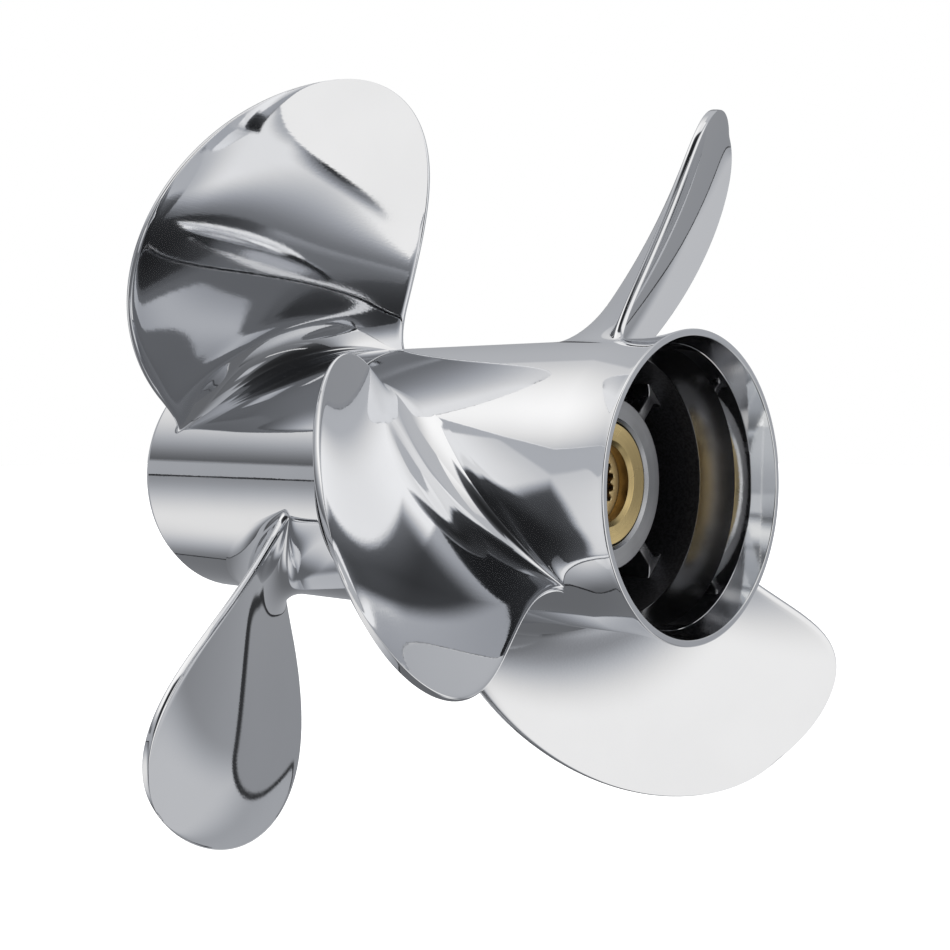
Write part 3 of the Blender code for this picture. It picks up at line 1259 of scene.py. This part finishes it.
def inner_hub(start: float, end: float) -> TurnedForm:
    """Gives the tube round a shaft: faces turned, the outside left as cast and painted dark as
    shade.

    Args:
        start: the X of its forward end, in metres.
        end: the X of its aft end, in metres.

    Returns:
        The turned form.
    """
    chamfer, front_chamfer = 1.2 * MM, 1.0 * MM
    edge, keen_edge = 0.5 * MM, 0.15 * MM
    return TurnedForm(
        (
            Corner(start, HUB_BORE + front_chamfer, 0.2 * MM, TURNED),
            Corner(start, HUB_RADIUS, edge, SHADED_CAST),
            Corner(end, HUB_RADIUS, edge, TURNED),
            Corner(end, HUB_BORE + chamfer, keen_edge, GROUND),
            Corner(end - chamfer, HUB_BORE, keen_edge, TURNED),
            Corner(start + front_chamfer, HUB_BORE, keen_edge, GROUND),
        )
    )


def bushing(start: float, end: float, sleeve_radius: float) -> TurnedForm:
    """Gives the rubber ring between a sleeve and its hub, dished a little at its ends.

    Args:
        start: the X of its forward end, in metres.
        end: the X of its aft end, in metres.
        sleeve_radius: the sleeve's outside radius, in metres.

    Returns:
        The turned form.
    """
    clearance, dish, dish_round = 0.05 * MM, 0.8 * MM, 1.0 * MM
    inner, outer = sleeve_radius + clearance, HUB_BORE - clearance
    middle = (sleeve_radius + HUB_BORE) / 2
    return TurnedForm(
        (
            Corner(start, inner, 0.0, RUBBER),
            Corner(start + dish, middle, dish_round, RUBBER),
            Corner(start, outer, 0.0, RUBBER),
            Corner(end, outer, 0.0, RUBBER),
            Corner(end - dish, middle, dish_round, RUBBER),
            Corner(end, inner, 0.0, RUBBER),
        ),
        segments=128,
    )


def spline_sleeve(start: float, end: float, outer: float, spline: float, teeth: int) -> TurnedForm:
    """Gives a brass sleeve with rounded teeth in its bore.

    Args:
        start: the X of its forward end, in metres.
        end: the X of its aft end, in metres.
        outer: its outside radius, in metres.
        spline: its bore's radius between the teeth, in metres.
        teeth: the number of teeth.

    Returns:
        The turned form.
    """
    edge, bevel = 0.3 * MM, 0.35 * MM
    return TurnedForm(
        (
            Corner(start, outer, edge, BRASS),
            # The aft face is painted paler brass as light
            Corner(end, outer, edge, LIT_BRASS),
            Corner(end, spline + bevel, 0.0, LIT_BRASS, toothed=True),
            # The bore is painted dark brass as shade
            Corner(end - bevel, spline, 0.0, BORE_SHADE_BRASS, toothed=True),
            Corner(start + bevel, spline, 0.0, BRASS, toothed=True),
            Corner(start, spline + bevel, 0.0, BRASS, toothed=True),
        ),
        segments=teeth * FACETS_PER_TOOTH,
        teeth=teeth,
        tooth_depth=SPLINE_DEPTH,
    )


def numbered(name: str, count: int) -> list[str]:
    """Gives the CAD names of a count of like nodes."""
    return [f"{name}_{number}" for number in range(1, count + 1)]


def add_blades(blade: Blade, name: str, body: Body) -> None:
    """Builds a propeller's blades and puts them on its body.

    Args:
        blade: the blades' shape.
        name: the start of the names of the pieces and of the CAD nodes.
        body: the body that the blades ride on.
    """
    for number, node in enumerate(numbered(name, BLADE_COUNT)):
        piece = f"{name}_skin_{number + 1}"
        dress(add_object(piece, blade.mesh(piece, number)), body, [node], MIRROR)


@dataclass(frozen=True)
class FrontPropeller:
    """The left-hand propeller that turns on the outer shaft."""

    hub_start: float = 4.0 * MM
    hub_end: float = 102.0 * MM
    rib_start: float = 8.0 * MM
    rib_end: float = 98.0 * MM
    sleeve_radius: float = 20.5 * MM
    spline_radius: float = 17.2 * MM
    teeth: int = 23

    def barrel(self) -> bpy.types.Object:
        """Builds the barrel, with the counterbore that takes the rear one's spigot.

        Returns:
            The barrel.
        """
        bevel = 0.8 * MM
        chamfer, drop = 3.5 * MM, 1.5 * MM
        floor = SEAM_X - COUNTERBORE_DEPTH
        form = TurnedForm(
            (
                Corner(0.0, BARREL_BORE + bevel, 0.4 * MM, GROUND),
                Corner(0.0, NOSE_RADIUS - drop, 0.4 * MM, MIRROR),
                Corner(chamfer, front_barrel_radius(chamfer), BARREL_EDGE, MIRROR),
                Corner(SEAM_X, BARREL_RADIUS, BARREL_EDGE, GROUND),
                Corner(SEAM_X, COUNTERBORE_RADIUS, BORE_EDGE, GROUND),
                Corner(floor, COUNTERBORE_RADIUS, BORE_EDGE, GROUND),
                # The bore from here forward is painted dark as shade
                Corner(floor, BARREL_BORE, BORE_EDGE, SHADED_CAST),
                Corner(bevel, BARREL_BORE, 0.2 * MM, SHADED_CAST),
            )
        )
        return form.build("front_barrel_shell")

    def build(self) -> None:
        """Builds every piece and puts it on the front body."""
        body = Body.FRONT
        dress(self.barrel(), body, ["front_barrel"])
        hub = inner_hub(self.hub_start, self.hub_end).build("front_hub_tube")
        dress(hub, body, ["front_inner_hub"])
        ribs = Ribs(self.rib_start, self.rib_end).build("front_ribs", SHADED_CAST)
        dress(ribs, body, numbered("front_rib", len(RIB_ANGLES)))
        rubber = bushing(
            self.hub_start + BUSHING_INSET, self.hub_end - BUSHING_INSET, self.sleeve_radius
        ).build("front_bushing")
        dress(rubber, body, ["front_rubber_bushing"])
        sleeve = spline_sleeve(
            self.hub_start + SLEEVE_INSET,
            self.hub_end - SLEEVE_INSET,
            self.sleeve_radius,
            self.spline_radius,
            self.teeth,
        ).build("front_sleeve")
        dress(sleeve, body, ["front_spline_sleeve"])
        add_blades(FRONT_BLADE, "front_blade", body)


@dataclass(frozen=True)
class RearPropeller:
    """The right-hand propeller that turns on the inner shaft."""

    hub_start: float = 128.0 * MM
    hub_end: float = 222.0 * MM
    rib_start: float = 132.0 * MM
    rib_end: float = 219.0 * MM
    sleeve_radius: float = 16.0 * MM
    spline_radius: float = 12.4 * MM
    teeth: int = 16
    collar_radius: float = 23.7 * MM
    collar_bore: float = 15.2 * MM
    collar_recess: float = 0.6 * MM
    collar_length: float = 6.0 * MM
    lip_trim: float = 0.05 * MM
    mouth_radius: float = 55.2 * MM
    crease_x: float = 253.0 * MM
    crease_radius: float = 52.55 * MM
    crease_width: float = 0.2 * MM
    crease_height: float = 0.15 * MM
    throat_x: float = 246.0 * MM
    throat_radius: float = 51.8 * MM
    bore_end_x: float = 231.0 * MM

    def flare(self, steps: int = 24) -> list[Corner]:
        """Gives the flared ring's outside, short of its lip.

        Args:
            steps: the number of steps from the ring's start to its lip.

        Returns:
            The corners.
        """
        length = FLARE_END_X - FLARE_START_X - BARREL_EDGE
        places = [FLARE_START_X + length * k / steps for k in range(1, steps)]
        return [Corner(x, rear_barrel_radius(x), 0.0, MIRROR) for x in places]

    def barrel(self) -> bpy.types.Object:
        """Builds the barrel and its flared ring in one, as they are cast.

        Returns:
            The barrel with its ring.
        """
        start = SEAM_X + SEAM_GAP
        spigot = start - SPIGOT_LENGTH
        crease = (self.crease_x + self.crease_width, self.crease_radius + self.crease_height)
        form = TurnedForm(
            (
                Corner(spigot, BARREL_BORE, 0.0, GROUND),
                Corner(spigot, SPIGOT_RADIUS, BORE_EDGE, GROUND),
                Corner(start, SPIGOT_RADIUS, 0.0, GROUND),
                Corner(start, BARREL_RADIUS, BARREL_EDGE, MIRROR),
                Corner(FLARE_START_X, BARREL_RADIUS, 0.0, MIRROR),
                *self.flare(),
                Corner(FLARE_END_X, FLARE_RADIUS - self.lip_trim, 0.45 * MM, MIRROR),
                Corner(FLARE_END_X, self.mouth_radius, 0.35 * MM, BORE_MIRROR),
                Corner(*crease, 0.15 * MM, BORE_MIRROR),
                Corner(self.crease_x, self.crease_radius, 0.1 * MM, BORE_MIRROR),
                # The throat is painted darker steel as shade
                Corner(self.throat_x, self.throat_radius, 0.15 * MM, SHADED_THROAT),
                # The bore from here forward is painted dark as shade
                Corner(self.bore_end_x, BARREL_BORE, 6.0 * MM, SHADED_CAST),
            )
        )
        return form.build("rear_barrel_shell")

    def collar(self) -> bpy.types.Object:
        """Builds the brass collar whose flat face takes the nut.

        Returns:
            The collar.
        """
        end = self.hub_end - self.collar_recess
        start = end - self.collar_length
        form = TurnedForm(
            (
                # The forward face and the bore are painted dark brass as shade
                Corner(start, self.collar_bore, 0.0, BORE_SHADE_BRASS),
                Corner(start, self.collar_radius, 0.3 * MM, BRASS),
                Corner(end, self.collar_radius, 0.35 * MM, BRASS),
                Corner(end, self.collar_bore + 1.6 * MM, 0.15 * MM, BRASS),
                Corner(end - 1.5 * MM, self.collar_bore, 0.2 * MM, BORE_SHADE_BRASS),
            )
        )
        return form.build("rear_collar")

    def build(self) -> None:
        """Builds every piece and puts it on the rear body."""
        body = Body.REAR
        dress(self.barrel(), body, ["rear_barrel", "rear_flare_ring"])
        hub = inner_hub(self.hub_start, self.hub_end).build("rear_hub_tube")
        dress(hub, body, ["rear_inner_hub"])
        ribs = Ribs(self.rib_start, self.rib_end).build("rear_ribs", GROUND)
        dress(ribs, body, numbered("rear_rib", len(RIB_ANGLES)))
        dress(self.collar(), body, ["rear_brass_collar"])
        sleeve_end = self.hub_end - self.collar_recess - self.collar_length - FIT_GAP
        rubber = bushing(self.hub_start + BUSHING_INSET, sleeve_end, self.sleeve_radius)
        dress(rubber.build("rear_bushing"), body, ["rear_rubber_bushing"])
        sleeve = spline_sleeve(
            self.hub_start + SLEEVE_INSET,
            sleeve_end,
            self.sleeve_radius,
            self.spline_radius,
            self.teeth,
        ).build("rear_sleeve")
        dress(sleeve, body, ["rear_spline_sleeve"])
        add_blades(REAR_BLADE, "rear_blade", body)


# The studio


def light_level(shade: float) -> float:
    """Gives the linear light of a display shade from 0 to 255, by the sRGB curve."""
    part = shade / 255.0
    return part / 12.92 if part <= 0.04045 else ((part + 0.055) / 1.055) ** 2.4


def direction(azimuth: float, elevation: float) -> Vector:
    """Gives the unit vector towards an azimuth from +X and an elevation, in degrees."""
    turn, rise = math.radians(azimuth), math.radians(elevation)
    return Vector((math.cos(turn) * math.cos(rise), math.sin(turn) * math.cos(rise), math.sin(rise)))


# The tangent over which the edge of a panel's frame fades
FRAME_BLUR = 0.004


@lru_cache(maxsize=None)
def softbox_group() -> bpy.types.NodeTree:
    """Builds a flat panel with rounded corners, seen from the middle of the studio.

    The Vector input is the direction turned so that the panel's middle is at +X. Sizes are
    tangents of angles. Each side has its own brightness, which rises to 1 at Reach from it.

    Returns:
        The shader group.
    """
    sides = ["Left", "Right", "Bottom", "Top"]
    labels = ["Width", "Height", "Corner", "Softness", "Frame", "Reach", *sides]
    maker, given = new_group("softbox", labels, ["Panel", "Edge", "Level"])
    apart = maker.node("ShaderNodeSeparateXYZ", Vector=given["Vector"])
    ahead = maker.math("MAXIMUM", apart.outputs[0], 0.001)
    across = maker.math("DIVIDE", apart.outputs[1], ahead)
    up = maker.math("DIVIDE", apart.outputs[2], ahead)
    outside = []
    for place, size in ((across, given["Width"]), (up, given["Height"])):
        inner = maker.math("SUBTRACT", size, given["Corner"])
        outside.append(maker.math("SUBTRACT", maker.math("ABSOLUTE", place), inner))
    clipped = [maker.math("MAXIMUM", value, 0.0) for value in outside]
    square = maker.math("MULTIPLY", clipped[0], clipped[0])
    round_part = maker.math("SQRT", maker.math("MULTIPLY_ADD", clipped[1], clipped[1], square))
    flat_part = maker.math("MINIMUM", maker.math("MAXIMUM", *outside), 0.0)
    distance = maker.math("SUBTRACT", maker.math("ADD", round_part, flat_part), given["Corner"])
    facing = maker.math("GREATER_THAN", apart.outputs[0], 0.0)
    inside = maker.ramp(distance, 0.0, maker.math("MULTIPLY", given["Softness"], -1.0))
    inner_frame = maker.math("SUBTRACT", given["Frame"], FRAME_BLUR)
    rim = maker.ramp(distance, given["Frame"], inner_frame)
    level = None
    for place, size, side in (
        (across, given["Width"], "Right"),
        (maker.math("MULTIPLY", across, -1.0), given["Width"], "Left"),
        (up, given["Height"], "Bottom"),
        (maker.math("MULTIPLY", up, -1.0), given["Height"], "Top"),
    ):
        depth = maker.math("ADD", place, size)
        part = maker.ramp(depth, 0.0, given["Reach"], given[side], 1.0)
        level = part if level is None else maker.math("MULTIPLY", level, part)
    return close_group(
        maker,
        {
            "Panel": maker.math("MULTIPLY", inside, facing),
            "Edge": maker.math("MULTIPLY", rim, facing),
            "Level": level,
        },
    )


@dataclass(frozen=True)
class Softbox:
    """A light panel of the studio, by the direction of its middle and its half sizes in degrees.

    Its shade is a display shade. Each side has a share of the panel's light, which goes over
    to the whole light within reach of that side. Left and right are as the object sees them.
    """

    name: str
    azimuth: float
    elevation: float
    width: float
    height: float
    shade: float
    left: float = 1.0
    right: float = 1.0
    bottom: float = 1.0
    top: float = 1.0
    reach: float = 20.0
    corner: float = 3.0
    softness: float = 0.6
    frame: float = 0.0
    frame_shade: float = 40.0

    def add(self, maker: ShadeMaker, vector: Socket, light: Socket) -> Socket:
        """Lays the panel over the light from behind it.

        Args:
            maker: the world's node maker.
            vector: the direction looked at.
            light: the linear light so far.

        Returns:
            The light with the panel in it.
        """
        turned = direction(self.azimuth, self.elevation).to_track_quat("X", "Z")
        turn = turned.to_matrix().inverted().to_euler()
        local = maker.node("ShaderNodeMapping", Vector=vector, Rotation=tuple(turn))
        sizes = {
            "Width": self.width,
            "Height": self.height,
            "Corner": self.corner,
            "Softness": self.softness,
            "Frame": self.frame,
            "Reach": self.reach,
        }
        tangents = {label: math.tan(math.radians(value)) for label, value in sizes.items()}
        sides = {"Left": self.left, "Right": self.right, "Bottom": self.bottom, "Top": self.top}
        box = maker.group(softbox_group(), Vector=local.outputs[0], **sides, **tangents)
        box.label = self.name
        if self.frame > 0:
            light = maker.blend(box.outputs["Edge"], light, light_level(self.frame_shade))
        glow = maker.math("MULTIPLY", box.outputs["Level"], light_level(self.shade))
        return maker.blend(box.outputs["Panel"], light, glow)


SOFTBOXES = (
    Softbox("ceiling strip", 284.0, 77.0, 24.0, 15.0, 246, left=0.7, softness=2.0),
    Softbox(
        "key light", 211.0, 49.0, 40.0, 44.0, 256,
        left=0.95, right=0.6, bottom=0.1, top=0.8, reach=42.0, softness=4.0,
    ),
    Softbox(
        "low side light", 218.0, -28.5, 33.0, 26.0, 226,
        left=0.4, right=0.35, bottom=0.4, top=0.36, reach=24.0, frame=0.9,
    ),
    Softbox("floor bounce", 58.0, -62.0, 26.0, 23.0, 222, softness=20.0),
    Softbox("floor bounce side", 78.0, -24.0, 20.0, 18.0, 190, softness=9.0),
    Softbox("far window", 108.0, 10.0, 21.0, 23.0, 142, corner=10.0, frame=0.8, frame_shade=50.0),
    Softbox(
        "low front card", 300.0, -16.0, 19.0, 20.0, 104,
        left=1.3, bottom=0.9, reach=12.0, softness=3.0,
    ),
    Softbox(
        "dark ceiling gap", 296.0, 32.0, 29.0, 33.0, 36,
        left=3.0, right=3.5, bottom=2.0, top=3.5, reach=26.0, softness=8.0,
    ),
    Softbox(
        "fill wall", 2.0, 2.0, 44.5, 50.0, 240,
        left=0.5, right=0.2, bottom=0.5, top=0.6, reach=26.0, softness=1.0,
    ),
    Softbox("narrow strip light", 311.0, 1.0, 0.8, 16.0, 214, reach=4.0, softness=0.3, corner=0.5),
    Softbox(
        "small low light", 299.0, -11.0, 6.0, 7.0, 184,
        left=0.7, right=0.7, reach=6.0, softness=0.8, corner=1.0,
    ),
)


@dataclass(frozen=True)
class Studio:
    """The grey room with its softboxes, and the pale floor.

    The steel mirrors the room. The camera itself sees plain white behind the object, and
    the floor is lit by a sun that only matt surfaces show.
    """

    top_shade: float = 186.0
    middle_shade: float = 164.0
    floor_shade: float = 104.0
    low_height: float = -0.75
    horizon_height: float = 0.05
    high_height: float = 0.9
    steel_gain: float = 1.06
    room_tint: Colour = (0.965, 0.99, 1.045)
    panel_tint: Colour = (1.012, 1.0, 0.984)
    room_light: float = 0.3
    panel_light: float = 0.8
    backdrop: Colour = (1.0, 1.0, 1.0)
    floor_colour: Colour = (0.9, 0.9, 0.9)
    floor_roughness: float = 0.9
    floor_z: float = -0.42
    floor_size: float = 24.0
    sun_strength: float = 3.2
    sun_spread: float = 70.0

    def room(self, maker: ShadeMaker, vector: Socket) -> Socket:
        """Gives the light of the bare room, which is darker below.

        Args:
            maker: the world's node maker.
            vector: the direction that is looked in.

        Returns:
            The light, where 1 is white.
        """
        height = maker.node("ShaderNodeSeparateXYZ", Vector=vector).outputs[2]
        shades = (self.floor_shade, self.middle_shade, self.top_shade)
        low, middle, top = (light_level(shade) for shade in shades)
        light = maker.ramp(height, self.low_height, self.horizon_height, low, middle)
        rise = maker.ramp(height, self.horizon_height, self.high_height)
        return maker.blend(rise, light, top)

    def world(self) -> None:
        """Makes the world: the room and its softboxes, white for the camera."""
        world = bpy.data.worlds.new("studio")
        world.use_nodes = True
        maker = ShadeMaker(world.node_tree)
        background = world.node_tree.nodes["Background"]
        vector = maker.node("ShaderNodeTexCoord").outputs["Generated"]
        light = self.room(maker, vector)
        for box in SOFTBOXES:
            light = box.add(maker, vector, light)
        share = maker.ramp(light, self.room_light, self.panel_light)
        tone = maker.mix(share, self.room_tint, self.panel_tint)
        scaled = maker.node("ShaderNodeVectorMath", {"operation": "SCALE"})
        maker.feed(scaled.inputs[0], tone)
        maker.feed(scaled.inputs["Scale"], maker.math("MULTIPLY", light, self.steel_gain))
        seen = maker.node("ShaderNodeLightPath").outputs["Is Camera Ray"]
        colour = maker.mix(seen, scaled.outputs["Vector"], self.backdrop)
        maker.feed(background.inputs["Color"], colour)
        bpy.context.scene.world = world

    def floor(self) -> None:
        """Makes the pale floor and the sun over it."""
        half = self.floor_size / 2
        corners = [(-half, -half, 0.0), (half, -half, 0.0), (half, half, 0.0), (-half, half, 0.0)]
        mesh = finished_mesh("studio_floor", corners, [(0, 1, 2, 3)])
        material = bpy.data.materials.new("pale_floor")
        material.use_nodes = True
        shader = material.node_tree.nodes["Principled BSDF"]
        shader.inputs["Base Color"].default_value = (*self.floor_colour, 1.0)
        shader.inputs["Roughness"].default_value = self.floor_roughness
        shader.inputs["Specular IOR Level"].default_value = 0.0
        mesh.materials.append(material)
        floor = add_object("studio_floor", mesh)
        floor.location.z = self.floor_z
        floor.visible_glossy = False
        data = bpy.data.lights.new("floor_sun", "SUN")
        data.energy = self.sun_strength
        data.angle = math.radians(self.sun_spread)
        sun = bpy.data.objects.new("floor_sun", data)
        sun.visible_glossy = False
        bpy.context.scene.collection.objects.link(sun)

    def build(self) -> None:
        """Builds the studio."""
        self.world()
        self.floor()


@dataclass(frozen=True)
class Camera:
    """The camera at the photograph's place."""

    place: Point = (0.540, -0.419, 0.024)
    yaw: float = 38.0
    pitch: float = -2.1
    lens: float = 52.0
    shift: tuple[float, float] = (-0.121, -0.110)
    sensor: float = 36.0
    nearest: float = 0.01

    def build(self) -> None:
        """Makes the camera and sets it as the scene's own."""
        data = bpy.data.cameras.new("camera")
        data.lens = self.lens
        data.sensor_width = self.sensor
        data.shift_x, data.shift_y = self.shift
        data.clip_start = self.nearest
        obj = bpy.data.objects.new("camera", data)
        bpy.context.scene.collection.objects.link(obj)
        obj.location = self.place
        obj.rotation_euler = (math.radians(90 - self.pitch), 0.0, math.radians(self.yaw))
        bpy.context.scene.camera = obj


def main() -> None:
    """Builds both propellers and the studio."""
    bpy.context.scene.view_settings.view_transform = "Standard"
    FrontPropeller().build()
    RearPropeller().build()
    Camera().build()
    Studio().build()


if __name__ == "__main__":
    main()
